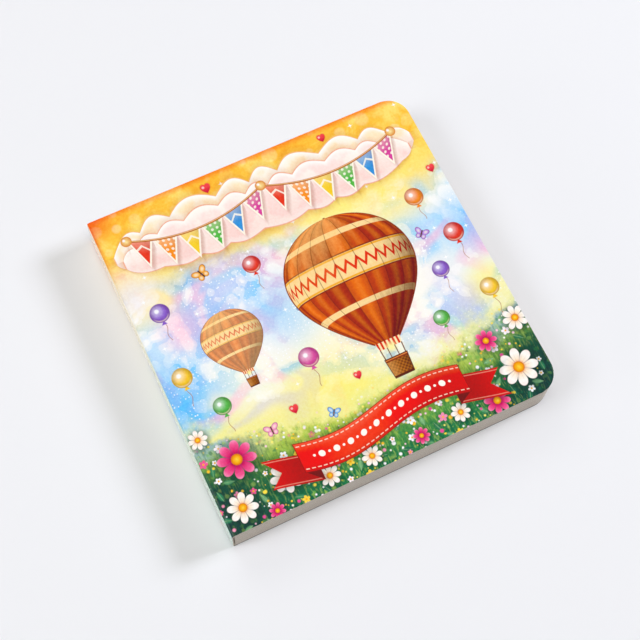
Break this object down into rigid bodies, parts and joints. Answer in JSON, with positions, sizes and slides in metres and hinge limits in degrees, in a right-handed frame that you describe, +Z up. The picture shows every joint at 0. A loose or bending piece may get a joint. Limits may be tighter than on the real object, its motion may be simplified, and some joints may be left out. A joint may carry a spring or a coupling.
{
  "type": "board book",
  "caption": "Square children's board book with thick board leaves, rounded fore-edge corners and printed covers that swing open on the folds of the spine.",
  "frame": {"origin": "centre of the base, on the outer face of the back cover, with the book closed", "axes": "+X from the spine to the fore edge, +Y from the tail to the head, +Z up, out of the front cover"},
  "size_m": [0.15, 0.15, 0.018],
  "materials": {
    "laminated_print": "gloss",
    "board_leaves": "matte"
  },
  "bodies": {
    "block": {"page_block": "board_leaves", "spine": "laminated_print"},
    "front_cover": {"front_cover": "laminated_print"},
    "back_cover": {"back_cover": "laminated_print"}
  },
  "joints": [
    {"name": "front_cover_hinge", "type": "hinge", "parent": "block", "child": "front_cover", "pos_m": [-0.075, 0, 0.0162], "axis": [0, -1, 0], "range_deg": [0, 180]},
    {"name": "back_cover_hinge", "type": "hinge", "parent": "block", "child": "back_cover", "pos_m": [-0.075, 0, 0.0018], "axis": [0, 1, 0], "range_deg": [0, 180]}
  ]
}
